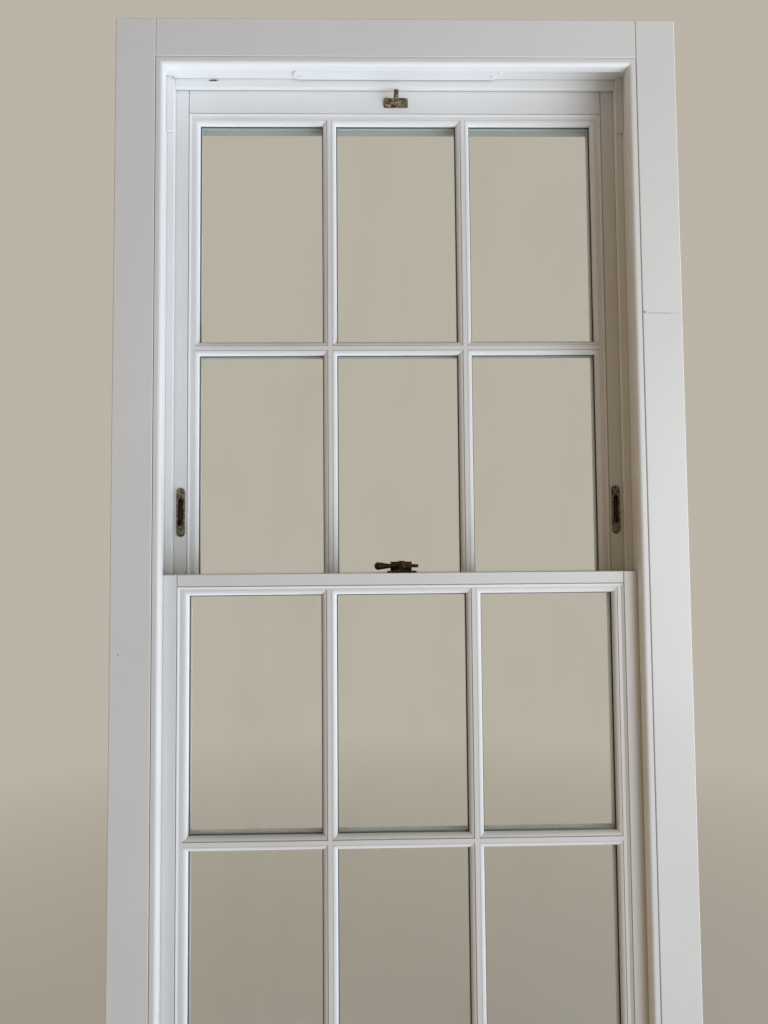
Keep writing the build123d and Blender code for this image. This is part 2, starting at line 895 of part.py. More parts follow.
sill = build_sill()
jamb = build_jamb(sill)
stop_block = board((parting_x, opening_x),
                   (parting_front - stop_block_thickness, parting_front),
                   (soffit_z - stop_block_length, soffit_z))
side_lining = lining_board((opening_x, frame_x), (0, frame_top))
outer_lining = standing_board((outer_x, frame_x), (outer_face, outer_back), frame_top, sill)
back_lining = standing_board((frame_x - back_lining_thickness, frame_x),
                             (lining_back, outer_face), frame_top, sill)
staff_bead = build_staff_bead_side()
parting_bead = build_parting_bead_side(sill)

lower = build_sash(lower_sash)
lower["high_rail"] = add_lip(lower["high_rail"],
                             ((lower_back, top_z), (lower_back + lip_low, top_z),
                              (lower_back + lip_high, lower_top), (lower_back, lower_top)))
top = build_sash(top_sash)
bevel = (lip_high - lip_low) / (lower_top - top_z)
lip_front = lower_back + lip_low + bevel_gap
top["low_rail"] = add_lip(top["low_rail"],
                          ((top_face, top_z), (lip_front, top_z),
                           (lip_front + bevel * top_meeting_rail, top_low_sight),
                           (top_face, top_low_sight)))

fastener_screw_x = base_length / 2 - screw_edge
fastener_screws = build_screws(
    [Plane((fastener_x + side * fastener_screw_x, pivot_y, lower_top + base_thickness))
     for side in (-1, 1)])
hook_screw_x = hook_plate_length / 2 - screw_edge
stop_screw_z = stop_length / 2 - screw_edge
top_screws = build_screws(
    [facing_room(side * hook_screw_x, top_face - hook_plate_thickness, hook_z)
     for side in (-1, 1)]
    + [facing_room(side * stop_x, top_face - stop_plate_thickness,
                   stop_height + end * stop_screw_z)
       for side in (-1, 1) for end in (-1, 1)])

stop_case = build_stop_case()
stop_plate = build_stop_plate(stop_case)
tongue = build_tongue()
lower["high_rail"] = without(lower["high_rail"], (fastener_screws,))
top["high_rail"] = without(top["high_rail"], (top_screws,))
top["stile_right"] = without(top["stile_right"], (stop_case, top_screws))
top["stile_left"] = mirrored(top["stile_right"])
stop_plate = without(stop_plate, (top_screws,))

os.makedirs("parts", exist_ok=True)

write(sill, "sill")
write(build_head_board(), "head_board")
write(lining_board((-opening_x, opening_x), (head_z, frame_top)), "head_lining")
write(board((-outer_x, outer_x), (outer_face, outer_back), (head_parting_z, frame_top)),
      "outer_head_lining")
write(build_staff_bead_cross(head_z, -1), "staff_bead_head")
write(build_staff_bead_cross(sill_height, 1), "staff_bead_sill")
write(build_parting_bead_head(), "parting_bead_head")
write(build_vent_cover(), "vent_cover")
write(build_brush_strips(), "brush_strips")
write(build_balance_tubes(), "balance_tubes")
for piece, name in ((jamb, "jamb"), (side_lining, "side_lining"),
                    (outer_lining, "outer_lining"), (back_lining, "back_lining"),
                    (staff_bead, "staff_bead"), (parting_bead, "parting_bead"),
                    (stop_block, "stop_block")):
    write(piece, f"{name}_right")
    write(mirrored(piece), f"{name}_left")

for name, piece in lower.items():
    write(piece, f"lower_sash_{name}")
for name, piece in top.items():
    write(piece, f"top_sash_{name}")
write(build_balance_rods(lower_tube_y, lower_z, lower_rod_length), "lower_sash_balance_rods")
write(build_balance_rods(top_tube_y, top_z, top_rod_length), "top_sash_balance_rods")

write(without(build_fastener_base(), (fastener_screws,)), "fastener_base")
write(build_fastener_cam(), "fastener_cam")
write(build_fastener_pin(), "fastener_pin")
write(fastener_screws, "fastener_screws")
write(build_keep(), "fastener_keep")
write(without(build_pole_hook(), (top_screws,)), "pole_hook")
write(top_screws, "top_sash_screws")
write(stop_plate, "sash_stop_plate_right")
write(mirrored(stop_plate), "sash_stop_plate_left")
write(tongue, "sash_stop_tongue_right")
write(mirrored(tongue), "sash_stop_tongue_left")
write(build_stop_pins(), "sash_stop_pins")
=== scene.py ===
import math

import bmesh
import bpy
from mathutils import Matrix, Vector


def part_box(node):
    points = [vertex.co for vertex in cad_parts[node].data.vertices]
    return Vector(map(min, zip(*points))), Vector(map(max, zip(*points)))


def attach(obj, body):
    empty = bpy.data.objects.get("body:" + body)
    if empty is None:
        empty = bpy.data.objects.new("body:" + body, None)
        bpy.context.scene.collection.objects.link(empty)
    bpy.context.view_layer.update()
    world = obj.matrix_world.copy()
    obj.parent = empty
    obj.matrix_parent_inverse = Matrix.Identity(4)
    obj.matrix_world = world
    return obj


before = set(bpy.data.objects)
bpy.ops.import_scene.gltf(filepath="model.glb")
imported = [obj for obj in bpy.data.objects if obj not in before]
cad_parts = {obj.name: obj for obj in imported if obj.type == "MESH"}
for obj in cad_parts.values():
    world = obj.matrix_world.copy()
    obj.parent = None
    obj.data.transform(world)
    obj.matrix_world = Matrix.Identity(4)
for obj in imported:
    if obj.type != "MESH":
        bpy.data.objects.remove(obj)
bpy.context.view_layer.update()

# Viewpoint: a wide phone lens about 1.1 m in front of the window, tipped and rolled a little.
CAMERA_PLACE = Vector((-0.0462, -1.1664, 0.9665))
CAMERA_LENS = 25.3125
CAMERA_SENSOR = 36.0
CAMERA_ROLL = math.radians(1.034)
CAMERA_TIP = math.radians(-2.877)
CAMERA_TURN = math.radians(-0.416)

# Cool daylight from the right, a fill that is brightest from the lower right and brown from the left.
LAMP_PLACE = Vector((1.30, -1.25, 0.95))
LAMP_AIM = Vector((-0.10, 0.0, 1.20))
LAMP_SIZE = 1.1
LAMP_POWER = 12.2
LAMP_COLOUR = (0.93, 0.965, 1.0)
FILL_BRIGHT = (2.80, 3.08, 3.50, 1.0)
FILL_DIM = (0.066, 0.052, 0.038, 1.0)
FILL_BROWN = (0.45, 0.315, 0.165, 1.0)
FILL_TOWARDS = Vector((0.67, -0.02, -0.74)).normalized()
FILL_START = 0.45
FILL_FULL = 0.95
FILL_BROWN_END = -0.95
FILL_DIM_START = 0.05

# The background, and a floor that fades to it: in part under the window, and fully further off.
BACKGROUND = (0.50, 0.455, 0.385, 1.0)
FLOOR_COLOUR = (0.64, 0.63, 0.61, 1.0)
FLOOR_CLOUD = (0.60, 0.59, 0.57, 1.0)
FLOOR_REACH = 14.0
FLOOR_FADE_END = 2.6
FLOOR_GLOW_NEAR = 0.40

# Paint, what lies on it, and the painted shade and painted highlight laid over it.
PAINT_WHITE = (0.835, 0.835, 0.825, 1.0)
PAINT_CREAM = (0.80, 0.795, 0.775, 1.0)
PAINT_ARRIS_HIGHLIGHT = (0.88, 0.87, 0.84, 1.0)
CORNER_DUST_AND_SHADE = (0.40, 0.36, 0.30, 1.0)
QUIRK_SHADE = (0.25, 0.235, 0.215, 1.0)
GLASS_EDGE_SHADE = (0.22, 0.21, 0.19, 1.0)
BEAD_SHADED_GREY = (0.68, 0.675, 0.65, 1.0)
UNDERSIDE_SHADE = (0.17, 0.20, 0.18, 1.0)
CHIP_BROWN = (0.045, 0.03, 0.02, 1.0)
SCUFF_GREY = (0.36, 0.34, 0.33, 1.0)
SILL_GRIME = (0.50, 0.47, 0.41, 1.0)
COAT_PALE = (0.835, 0.845, 0.855, 1.0)
COAT_GREY = (0.80, 0.815, 0.83, 1.0)

# Glass and spacers, and the parts of the brushes and the balances.
GLASS_CLEAR = (0.972, 0.984, 0.976, 1.0)
GLASS_DUSTY = (0.930, 0.948, 0.936, 1.0)
GLASS_BENDING = 1.5
SPACER_DARK = (0.33, 0.39, 0.37, 1.0)
SPACER_PALE = (0.42, 0.47, 0.45, 1.0)
SPACER_HOLE = (0.22, 0.26, 0.245, 1.0)
PILE_DARK = (0.14, 0.13, 0.115, 1.0)
PILE_PALE = (0.68, 0.68, 0.65, 1.0)
TUBE_WHITE = (0.80, 0.80, 0.78, 1.0)
TUBE_YELLOWED = (0.73, 0.72, 0.67, 1.0)
ZINC_DARK = (0.46, 0.47, 0.49, 1.0)
ZINC_PALE = (0.62, 0.63, 0.63, 1.0)

# Brass: bare metal where the patina is rubbed through, and the patina over it.
PLATE_BARE = (0.36, 0.32, 0.24, 1.0)
PLATE_PATINA = (0.040, 0.034, 0.022, 1.0)
HOOK_BARE = (0.52, 0.43, 0.32, 1.0)
HOOK_PATINA = (0.105, 0.080, 0.045, 1.0)
DARK_BARE = (0.055, 0.036, 0.018, 1.0)
DARK_PATINA = (0.008, 0.006, 0.005, 1.0)
RUBBED_BRASS = (0.70, 0.62, 0.46, 1.0)

# How far edges are rounded in the shading, and how far dust and painted shade reach out of a corner.
PAINT_ROUNDING = 0.0004
SILL_ROUNDING = 0.0015
COAT_ROUNDING = 0.0006
BRASS_ROUNDING = 0.0004
BRASS_WEAR = 0.0005
PAINT_DUST_AND_SHADE_REACH = 0.010
SILL_DUST_AND_SHADE_REACH = 0.014
COAT_DUST_AND_SHADE_REACH = 0.004
BEAD_SHADE_REACH = 0.035
QUIRK_REACH = 0.0016
ROUNDING_SAMPLES = 6
CORNER_SAMPLES = 6
QUIRK_SAMPLES = 8

# Painted shade lines along the quirk each side of a bar's nose: the two bars, and the cross bars of
# the two sashes.
QUIRK_FROM_MIDDLE = 0.0039
QUIRK_DARK = 0.0003
QUIRK_END = 0.0007
BAR_MIDDLE = 0.0
BAR_AWAY = 0.1103
CROSS_BAR_MIDDLE = 0.90955
CROSS_BAR_AWAY = 0.38305

# Patterns, in lumps to the metre along each axis or every way, and the pitches of two rows.
UPRIGHT_GRAIN = (260.0, 260.0, 9.0)
LEVEL_GRAIN = (9.0, 260.0, 260.0)
BEAD_STREAKS = (40.0, 40.0, 12.0)
SILL_STREAKS = (60.0, 6.0, 14.0)
GLASS_FILM = (9.0, 9.0, 3.5)
GLASS_ROLL = (5.0, 5.0, 2.0)
DRAW_LINES = (700.0, 700.0, 4.0)
TOOL_LINES = (300.0, 300.0, 60.0)
SKIN_LUMPS = 520.0
SILL_GRIT = 340.0
COAT_PIMPLES = 780.0
BRASS_PITS = 1100.0
MARK_RAGS = 900.0
HOLE_PITCH = 0.0045
TUFT_PITCH = 0.0052

# The screws of the vent cover.
SCREW_PLACES = (-0.1560, 0.1560)
SCREW_Y = -0.0315
SCREW_RADIUS = 0.0027
SCREW_DROP = 0.0014
SCREW_RIM = 0.0005
SCREW_RECESS = 0.0009
SCREW_SIDES = 32
SCREW_RIM_STEPS = 4
DRIVE_SHARE = 0.45
LEVEL_SLACK = 1e-6


class Reading:
    """A number, colour or vector on its way through a finish. Sums on numbers add Math nodes."""

    def __init__(self, nodes, socket):
        self.nodes = nodes
        self.socket = socket

    def worked(self, operation, first, second):
        """One sum on two numbers."""
        return self.nodes.add("ShaderNodeMath", {"operation": operation}, {0: first, 1: second})

    def __add__(self, other):
        return self.worked("ADD", self, other)

    def __radd__(self, other):
        return self.worked("ADD", other, self)

    def __mul__(self, other):
        return self.worked("MULTIPLY", self, other)

    def __rmul__(self, other):
        return self.worked("MULTIPLY", other, self)

    def spread(self, low, high, new_low=0.0, new_high=1.0):
        """Spreads a number from one span to another and stops it at the ends."""
        spans = {"From Min": low, "From Max": high, "To Min": new_low, "To Max": new_high}
        return self.nodes.add("ShaderNodeMapRange", {}, {"Value": self, **spans}, "Result")


class Nodes:
    """A set of shader nodes, with one way to add a node to it."""

    def __init__(self, tree):
        self.tree = tree

    def join(self, socket, held):
        """Joins a socket to a reading, or sets its plain value."""
        if isinstance(held, Reading):
            self.tree.links.new(held.socket, socket)
        else:
            socket.default_value = held

    def add(self, kind, settings, sockets, output=0):
        """Adds a node: its settings first, and then what its sockets hold."""
        node = self.tree.nodes.new(kind)
        for setting, choice in settings.items():
            setattr(node, setting, choice)
        for socket, held in sockets.items():
            self.join(node.inputs[socket], held)
        return Reading(self, node.outputs[output])

    def place(self):
        """The point's own place on the window, in metres."""
        return self.add("ShaderNodeTexCoord", {}, {}, "Object")

    def stretched(self, place, scale):
        """Scales a place along each axis, so that a pattern runs long or short that way."""
        return self.add("ShaderNodeMapping", {}, {"Vector": place, "Scale": scale})

    def noise(self, place, scale, detail=2.0, roughness=0.5):
        """Cloudy noise at so many lumps to the metre."""
        lumps = {"Vector": place, "Scale": scale, "Detail": detail, "Roughness": roughness}
        return self.add("ShaderNodeTexNoise", {}, lumps, "Fac")

    def blend(self, amount, first, second):
        """Goes from the first colour to the second as the amount goes from none to one."""
        return self.add("ShaderNodeMix", {"data_type": "RGBA"}, {0: amount, 6: first, 7: second}, 2)

    def softened(self, radius):
        """Rounds every sharp edge by a small radius in the shading."""
        return self.add("ShaderNodeBevel", {"samples": ROUNDING_SAMPLES}, {"Radius": radius}, "Normal")

    def facing(self):
        """Which way the surface faces, before any relief."""
        return self.add("ShaderNodeNewGeometry", {}, {}, "Normal")

    def along(self, axis, vector):
        """One part of a vector."""
        return self.add("ShaderNodeSeparateXYZ", {}, {"Vector": vector}, axis)

    def open_share(self, distance, samples):
        """How much of what lies above the surface is open, within a distance."""
        settings = {"samples": samples}
        return self.add("ShaderNodeAmbientOcclusion", settings, {"Distance": distance}, "AO")

    def edges(self, radius):
        """One along the sharp edges and none on the flats, for wear on brass and a painted highlight
        on paint.
        """
        vectors = {0: self.softened(radius), 1: self.facing()}
        return self.add("ShaderNodeVectorMath", {"operation": "DOT_PRODUCT"}, vectors,
                        "Value").spread(0.995, 0.85)

    def corners(self, distance):
        """One deep in inside corners, where dust gathers and painted shade is laid, and none on open
        faces.
        """
        return self.open_share(distance, CORNER_SAMPLES).spread(0.55, 0.15)

    def quirks(self, reach):
        """One in the narrow quirks of a moulding and in open joints, where painted shade is laid dark.
        """
        return self.open_share(reach, QUIRK_SAMPLES).spread(0.88, 0.55)

    def undersides(self):
        """One on the faces that look down, where painted shade is laid, and none on the others."""
        return self.along("Z", self.facing()).spread(-0.4, -0.85)

    def nose_quirks(self, place, axis, middle, away):
        """One along the quirks beside the noses of bars each side of a middle line, where painted
        shade lines go.
        """
        from_bar = self.size_of(self.size_of(self.along(axis, place) + -middle) + -away)
        return self.size_of(from_bar + -QUIRK_FROM_MIDDLE).spread(QUIRK_END, QUIRK_DARK)

    def size_of(self, number):
        """A number without its sign."""
        return self.add("ShaderNodeMath", {"operation": "ABSOLUTE"}, {0: number})

    def length(self, vector):
        """How long a vector is."""
        return self.add("ShaderNodeVectorMath", {"operation": "LENGTH"}, {0: vector}, "Value")

    def relief(self, height, strength, distance, normal=None):
        """Turns a height into small relief on the surface."""
        sockets = {"Strength": strength, "Distance": distance, "Height": height}
        if normal is not None:
            sockets["Normal"] = normal
        return self.add("ShaderNodeBump", {}, sockets)

    def mark(self, place, centre, reach, turn):
        """One inside a ragged oval mark at a place on the window. The turn is about Y."""
        oval = {"Vector": place, "Location": centre, "Rotation": (0.0, turn, 0.0), "Scale": reach}
        inside = self.length(self.add("ShaderNodeMapping", {"vector_type": "TEXTURE"}, oval))
        ragged = self.noise(place, MARK_RAGS, 3.0).spread(0.3, 0.7, -0.5, 0.5)
        return (inside + ragged).spread(1.05, 0.75)

    def rows(self, place, pitch):
        """A repeat along whichever way a thin upright or level strip runs."""
        turns = (self.along("X", place) + self.along("Z", place)) * (2.0 * math.pi / pitch)
        return self.add("ShaderNodeMath", {"operation": "COSINE"}, {0: turns})

    def larger(self, first, second):
        """The larger of two numbers."""
        return self.add("ShaderNodeMath", {"operation": "MAXIMUM"}, {0: first, 1: second})

    def seen(self):
        """One for what is looked at straight, in a reflection or through glass."""
        kinds = ("Is Camera Ray", "Is Glossy Ray", "Is Transmission Ray")
        straight, mirrored, through = (self.add("ShaderNodeLightPath", {}, {}, kind) for kind in kinds)
        return self.larger(self.larger(straight, mirrored), through)


class Finish(Nodes):
    """One of the window's finishes: a material in the making, with its main shader."""

    def __init__(self, name):
        self.material = bpy.data.materials.new(name)
        self.material.use_nodes = True
        super().__init__(self.material.node_tree)
        self.shader = self.tree.nodes["Principled BSDF"]

    def feed(self, sockets):
        """Feeds the main shader, and gives back the material."""
        for socket, held in sockets.items():
            self.join(self.shader.inputs[socket], held)
        return self.material


def satin_paint(name, grain, marks=(), bars=None):
    """Sprayed satin white over timber: a fine skin, the grain just showing, dust and painted shade in
    the corners.
    """
    finish = Finish(name)
    place = finish.place()
    cloud = finish.noise(place, 4.0, 4.0, 0.55)
    skin = finish.noise(place, SKIN_LUMPS)
    fibres = finish.noise(finish.stretched(place, grain), 1.0, 4.0, 0.6)
    colour = finish.blend(cloud.spread(0.35, 0.70), PAINT_WHITE, PAINT_CREAM)
    # Painted shade with dust: the paint darkens in inside corners, by how closed in they are.
    colour = finish.blend(finish.corners(PAINT_DUST_AND_SHADE_REACH) * 0.30, colour, CORNER_DUST_AND_SHADE)
    # Painted shade in the quirks of the mouldings and in open joints.
    colour = finish.blend(finish.quirks(QUIRK_REACH) * 0.55, colour, QUIRK_SHADE)
    # Painted highlight: the paint is lighter along every sharp edge.
    colour = finish.blend(finish.edges(PAINT_ROUNDING) * 0.35, colour, PAINT_ARRIS_HIGHLIGHT)
    # Painted shade lines beside the noses of the bars.
    if bars is not None:
        colour = finish.blend(finish.nose_quirks(place, *bars) * 0.60, colour, QUIRK_SHADE)
    for centre, reach, turn, tint, strength in marks:
        colour = finish.blend(finish.mark(place, centre, reach, turn) * strength, colour, tint)
    relief = finish.relief(0.5 * skin + fibres, 0.16, 0.0004, finish.softened(PAINT_ROUNDING))
    return finish.feed({
        "Base Color": colour,
        "Roughness": skin.spread(0.3, 0.7, 0.34, 0.46),
        "Normal": relief,
    })


def outdoor_bead_paint():
    """The paint on the glazing beads outdoors: grey in part as painted shade, streaked by rain, with
    painted shade at the glass and below.
    """
    finish = Finish("outdoor_bead_paint")
    place = finish.place()
    streaks = finish.noise(finish.stretched(place, BEAD_STREAKS), 1.0, 5.0, 0.6)
    skin = finish.noise(place, SKIN_LUMPS)
    # Painted shade in part: the beads are greyer all over than the paint indoors.
    colour = finish.blend(streaks.spread(0.40, 0.85), BEAD_SHADED_GREY, SILL_GRIME)
    # Painted shade at the glass: darker where the bead is closed in.
    glass_shade = finish.open_share(BEAD_SHADE_REACH, CORNER_SAMPLES).spread(0.90, 0.40, 0.0, 0.92)
    colour = finish.blend(glass_shade, colour, GLASS_EDGE_SHADE)
    # Painted shade, dark and greenish, on the faces that look down.
    colour = finish.blend(finish.undersides() * 0.85, colour, UNDERSIDE_SHADE)
    return finish.feed({
        "Base Color": colour,
        "Roughness": skin.spread(0.3, 0.7, 0.42, 0.58),
        "Normal": finish.relief(skin, 0.16, 0.0003, finish.softened(PAINT_ROUNDING)),
    })


def weathered_sill_paint():
    """The same paint on the sill, dulled by rain run-off and grit on its slope."""
    finish = Finish("sill_paint")
    place = finish.place()
    streaks = finish.noise(finish.stretched(place, SILL_STREAKS), 1.0, 5.0, 0.6)
    grit = finish.noise(place, SILL_GRIT, 4.0, 0.65)
    fibres = finish.noise(finish.stretched(place, LEVEL_GRAIN), 1.0, 4.0, 0.6)
    colour = finish.blend(streaks.spread(0.45, 0.85, 0.0, 0.6), PAINT_WHITE, SILL_GRIME)
    colour = finish.blend(grit.spread(0.62, 0.78, 0.0, 0.45), colour, SILL_GRIME)
    # Painted shade with dust in the sill's inside corners.
    colour = finish.blend(finish.corners(SILL_DUST_AND_SHADE_REACH), colour, CORNER_DUST_AND_SHADE)
    relief = finish.relief(fibres + 0.5 * grit, 0.22, 0.0005, finish.softened(SILL_ROUNDING))
    return finish.feed({
        "Base Color": colour,
        "Roughness": streaks.spread(0.3, 0.8, 0.38, 0.62),
        "Normal": relief,
    })


def clear_glass():
    """Float glass with a faint green cast, a slight roll wave and a little wiped dust."""
    finish = Finish("float_glass")
    place = finish.place()
    film = finish.noise(finish.stretched(place, GLASS_FILM), 1.0, 5.0, 0.65).spread(0.52, 0.78)
    wave = finish.noise(finish.stretched(place, GLASS_ROLL), 1.0, 1.0)
    return finish.feed({
        "Transmission Weight": 1.0,
        "IOR": GLASS_BENDING,
        "Base Color": finish.blend(film, GLASS_CLEAR, GLASS_DUSTY),
        "Roughness": film.spread(0.0, 1.0, 0.0, 0.045),
        "Normal": finish.relief(wave, 0.05, 0.0006),
    })


def spacer_bar():
    """Grey spacer between the panes, with its row of small drying holes and a dull sealant edge."""
    finish = Finish("spacer_bar")
    place = finish.place()
    holes = finish.rows(place, HOLE_PITCH).spread(0.55, 0.85)
    brushed = finish.noise(place, 620.0, 3.0)
    cloud = finish.noise(place, 18.0, 3.0)
    colour = finish.blend(cloud, SPACER_DARK, SPACER_PALE)
    colour = finish.blend(holes, colour, SPACER_HOLE)
    return finish.feed({
        "Metallic": 0.35,
        "Base Color": colour,
        "Roughness": brushed.spread(0.3, 0.7, 0.42, 0.60),
        "Normal": finish.relief(holes, -0.4, 0.0004),
    })


def brush_pile():
    """Woven grey pile in tufts, pale at the tips and dark between."""
    finish = Finish("brush_pile")
    place = finish.place()
    fibres = finish.noise(place, 1600.0, 3.0, 0.7)
    tufts = finish.rows(place, TUFT_PITCH) + fibres.spread(0.3, 0.7, -0.5, 0.5)
    colour = finish.blend(tufts.spread(-0.6, 0.7), PILE_DARK, PILE_PALE)
    return finish.feed({
        "Roughness": 0.9,
        "Sheen Weight": 0.35,
        "Base Color": colour,
        "Normal": finish.relief(tufts, 0.8, 0.0007),
    })


def tube_plastic():
    """White balance tube, very slightly yellowed, with faint draw lines along it."""
    finish = Finish("tube_plastic")
    place = finish.place()
    lines = finish.noise(finish.stretched(place, DRAW_LINES), 1.0)
    cloud = finish.noise(place, 7.0, 3.0)
    return finish.feed({
        "Base Color": finish.blend(cloud, TUBE_WHITE, TUBE_YELLOWED),
        "Roughness": lines.spread(0.3, 0.7, 0.28, 0.42),
        "Normal": finish.relief(lines, 0.15, 0.0003),
    })


def balance_steel():
    """Zinc-plated rod, dull grey with spangle and slanting tool lines."""
    finish = Finish("balance_steel")
    place = finish.place()
    spangle = finish.noise(place, 260.0, 4.0, 0.7)
    slanted = finish.noise(finish.stretched(place, TOOL_LINES), 1.0)
    return finish.feed({
        "Metallic": 1.0,
        "Base Color": finish.blend(spangle, ZINC_DARK, ZINC_PALE),
        "Roughness": spangle.spread(0.3, 0.7, 0.30, 0.50),
        "Normal": finish.relief(slanted, 0.2, 0.0003),
    })


def coated_vent_metal():
    """White powder coat on the vent cover, cooler than the paint, with a fine pimple."""
    finish = Finish("coated_vent_metal")
    place = finish.place()
    pimple = finish.noise(place, COAT_PIMPLES)
    colour = finish.blend(finish.noise(place, 12.0, 3.0), COAT_PALE, COAT_GREY)
    # Painted shade with dust in the vent cover's inside corners.
    colour = finish.blend(finish.corners(COAT_DUST_AND_SHADE_REACH), colour, CORNER_DUST_AND_SHADE)
    return finish.feed({
        "Base Color": colour,
        "Roughness": pimple.spread(0.3, 0.7, 0.30, 0.42),
        "Normal": finish.relief(pimple, 0.2, 0.0003, finish.softened(COAT_ROUNDING)),
    })


def antique_brass(name, bare, patina, dark_share, lumps, rubbed_share):
    """Brass under a mottled dark patina, so many lumps to the metre, rubbed along its edges."""
    finish = Finish(name)
    place = finish.place()
    mottle = finish.noise(place, lumps, 5.0, 0.68)
    pits = finish.noise(place, BRASS_PITS, 3.0)
    middle = 0.65 - dark_share * 0.30
    colour = finish.blend(mottle.spread(middle - 0.07, middle + 0.09), patina, bare)
    rubbed = finish.edges(BRASS_WEAR) * pits.spread(0.42, 0.62) * rubbed_share
    colour = finish.blend(rubbed, colour, RUBBED_BRASS)
    relief = finish.relief(mottle + 0.6 * pits, 0.35, 0.0003, finish.softened(BRASS_ROUNDING))
    return finish.feed({
        "Metallic": 1.0,
        "Base Color": colour,
        "Roughness": mottle.spread(0.3, 0.7, 0.58, 0.36),
        "Normal": relief,
    })


def pale_floor():
    """Pale floor that keeps the window's shadow near it and fades to the background further off."""
    finish = Finish("pale_floor")
    place = finish.place()
    speck = finish.noise(place, 160.0, 3.0)
    finish.feed({
        "Base Color": finish.blend(finish.noise(place, 1.2, 4.0), FLOOR_COLOUR, FLOOR_CLOUD),
        "Roughness": speck.spread(0.3, 0.7, 0.75, 0.9),
        "Normal": finish.relief(speck, 0.1, 0.001),
    })
    far = finish.length(place).spread(0.0, FLOOR_FADE_END, FLOOR_GLOW_NEAR, 1.0)
    glow = finish.add("ShaderNodeEmission", {}, {"Color": BACKGROUND})
    near = Reading(finish, finish.shader.outputs["BSDF"])
    shown = finish.add("ShaderNodeMixShader", {}, {0: far * finish.seen(), 1: near, 2: glow})
    finish.join(finish.tree.nodes["Material Output"].inputs["Surface"], shown)
    return finish.material


def light_the_world():
    """Even background to look at, and a soft fill that is brighter from the lower right."""
    world = bpy.data.worlds.new("soft_fill")
    bpy.context.scene.world = world
    world.use_nodes = True
    nodes = Nodes(world.node_tree)
    heading = nodes.add("ShaderNodeTexCoord", {}, {}, "Generated")
    lean = nodes.add("ShaderNodeVectorMath", {"operation": "DOT_PRODUCT"},
                     {0: heading, 1: FILL_TOWARDS}, "Value")
    across = nodes.along("X", heading).spread(FILL_BROWN_END, FILL_DIM_START)
    colour = nodes.blend(across, FILL_BROWN, FILL_DIM)
    colour = nodes.blend(lean.spread(FILL_START, FILL_FULL), colour, FILL_BRIGHT)
    fill = nodes.add("ShaderNodeBackground", {}, {"Color": colour})
    backdrop = nodes.add("ShaderNodeBackground", {}, {"Color": BACKGROUND})
    shown = nodes.add("ShaderNodeMixShader", {}, {0: nodes.seen(), 1: fill, 2: backdrop})
    nodes.join(nodes.tree.nodes["World Output"].inputs["Surface"], shown)


def hang_lamp():
    """One large soft lamp in front on the right, not seen itself or through the panes."""
    data = bpy.data.lights.new("daylight_panel", "AREA")
    data.shape = "SQUARE"
    data.size = LAMP_SIZE
    data.energy = LAMP_POWER
    data.color = LAMP_COLOUR
    lamp = bpy.data.objects.new("daylight_panel", data)
    lamp.location = LAMP_PLACE
    lamp.rotation_mode = "QUATERNION"
    lamp.rotation_quaternion = (LAMP_AIM - LAMP_PLACE).to_track_quat("-Z", "Y")
    lamp.visible_camera = False
    lamp.visible_transmission = False
    bpy.context.scene.collection.objects.link(lamp)


def set_camera():
    """Puts the camera where the photograph was taken from."""
    turned = Matrix.Rotation(CAMERA_TURN, 3, "Y")
    tipped = Matrix.Rotation(CAMERA_TIP, 3, "X")
    rolled = Matrix.Rotation(CAMERA_ROLL, 3, (0.0, 0.0, 1.0))
    from_view = (rolled @ tipped @ turned).transposed()
    right = from_view @ Vector((1.0, 0.0, 0.0))
    ahead = from_view @ Vector((0.0, 1.0, 0.0))
    above = from_view @ Vector((0.0, 0.0, 1.0))
    data = bpy.data.cameras.new("viewpoint")
    data.lens = CAMERA_LENS
    data.sensor_width = CAMERA_SENSOR
    data.sensor_fit = "AUTO"
    camera = bpy.data.objects.new("viewpoint", data)
    turn = Matrix((right, above, -ahead)).transposed().to_4x4()
    camera.matrix_world = Matrix.Translation(CAMERA_PLACE) @ turn
    bpy.context.scene.collection.objects.link(camera)
    bpy.context.scene.camera = camera


def finish_mesh(shape, name, material):
    """Turns a bmesh into a linked object with its material."""
    bmesh.ops.recalc_face_normals(shape, faces=shape.faces)
    data = bpy.data.meshes.new(name)
    shape.to_mesh(data)
    shape.free()
    data.materials.append(material)
    piece = bpy.data.objects.new(name, data)
    bpy.context.scene.collection.objects.link(piece)
    return piece


def lay_floor():
    """A wide flat floor under the sill. It lets the fill light from below through to the window."""
    shape = bmesh.new()
    bmesh.ops.create_grid(shape, x_segments=2, y_segments=2, size=FLOOR_REACH)
    floor = finish_mesh(shape, "floor", pale_floor())
    floor.visible_shadow = False
    floor.visible_diffuse = False


def pushed(shape, faces, drop):
    """Extrudes some faces straight down and gives back the faces at the end."""
    grown = bmesh.ops.extrude_face_region(shape, geom=faces)["geom"]
    corners = [part for part in grown if isinstance(part, bmesh.types.BMVert)]
    bmesh.ops.translate(shape, verts=corners, vec=(0.0, 0.0, -drop))
    bmesh.ops.delete(shape, geom=faces, context="FACES_KEEP_BOUNDARY")
    return [part for part in grown if isinstance(part, bmesh.types.BMFace)]


